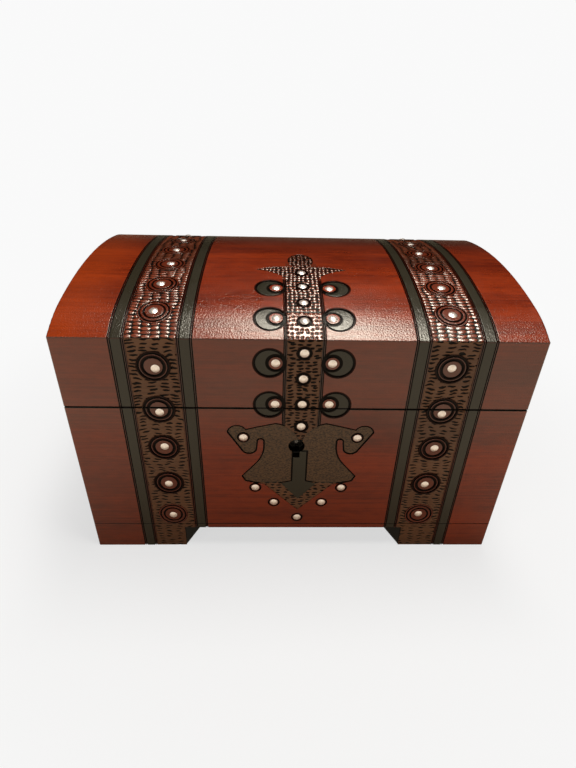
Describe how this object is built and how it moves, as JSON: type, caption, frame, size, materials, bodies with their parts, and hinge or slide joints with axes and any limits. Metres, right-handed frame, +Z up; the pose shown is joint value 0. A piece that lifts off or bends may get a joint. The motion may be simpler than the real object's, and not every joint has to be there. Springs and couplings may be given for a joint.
{
  "type": "domed wooden treasure chest box",
  "caption": "Small wooden keepsake chest with a domed hinged lid, carved strap bands with brass tacks, a carved lock plate round a keyhole, a box lock and a plinth with corner feet.",
  "frame": {"origin": "middle of the chest's plan, at the underside of its feet", "axes": "+Z up, -Y out of the front with the keyhole, +X to the right as one faces the front"},
  "size_m": [0.22, 0.1406, 0.1454],
  "materials": {
    "wall_linden": "red-brown stain under satin lacquer",
    "lid_rail_linden": "red-brown stain under satin lacquer",
    "lid_top_linden": "orange-red stain under gloss lacquer",
    "plinth_linden": "red-brown stain under satin lacquer",
    "bare_linden": "bare, sanded",
    "tack_brass": "polished",
    "hinge_brass": "rolled, lightly brushed",
    "strike_brass": "brushed",
    "bolt_brass": "milled",
    "spring_steel": "blued",
    "lock_steel": "zinc plated",
    "screw_steel": "turned"
  },
  "bodies": {
    "box": {"back_wall": "wall_linden", "body_tacks": "tack_brass", "bottom_panel": "bare_linden", "front_wall": "wall_linden", "hinge_left_body_leaf": "hinge_brass", "hinge_left_pin": "hinge_brass", "hinge_right_body_leaf": "hinge_brass", "hinge_right_pin": "hinge_brass", "hinge_screws_body": "screw_steel", "left_wall": "wall_linden", "lock_cap": "lock_steel", "lock_cap_screws": "screw_steel", "lock_case": "lock_steel", "lock_guide_studs": "lock_steel", "lock_key_post": "lock_steel", "lock_spring": "spring_steel", "plinth_back": "plinth_linden", "plinth_front": "plinth_linden", "plinth_left": "plinth_linden", "plinth_right": "plinth_linden", "right_wall": "wall_linden"},
    "lid": {"lid_front": "lid_rail_linden", "lid_back": "lid_rail_linden", "lid_right": "lid_rail_linden", "lid_left": "lid_rail_linden", "lid_top": "lid_top_linden", "lid_front_tacks": "tack_brass", "lid_top_tacks": "tack_brass", "strike_plate": "strike_brass", "strike_hook": "strike_brass", "strike_screws": "screw_steel", "hinge_screws_lid": "screw_steel", "hinge_left_lid_leaf": "hinge_brass", "hinge_right_lid_leaf": "hinge_brass"},
    "bolt": {"lock_bolt": "bolt_brass"}
  },
  "joints": [
    {"name": "lid_hinge", "type": "hinge", "parent": "box", "child": "lid", "pos_m": [0, 0.0678, 0.09615], "axis": [-1, 0, 0], "range_deg": [0, 100]},
    {"name": "bolt_slide", "type": "slide", "parent": "box", "child": "bolt", "axis": [1, 0, 0], "range_m": [0, 0.0045]}
  ]
}
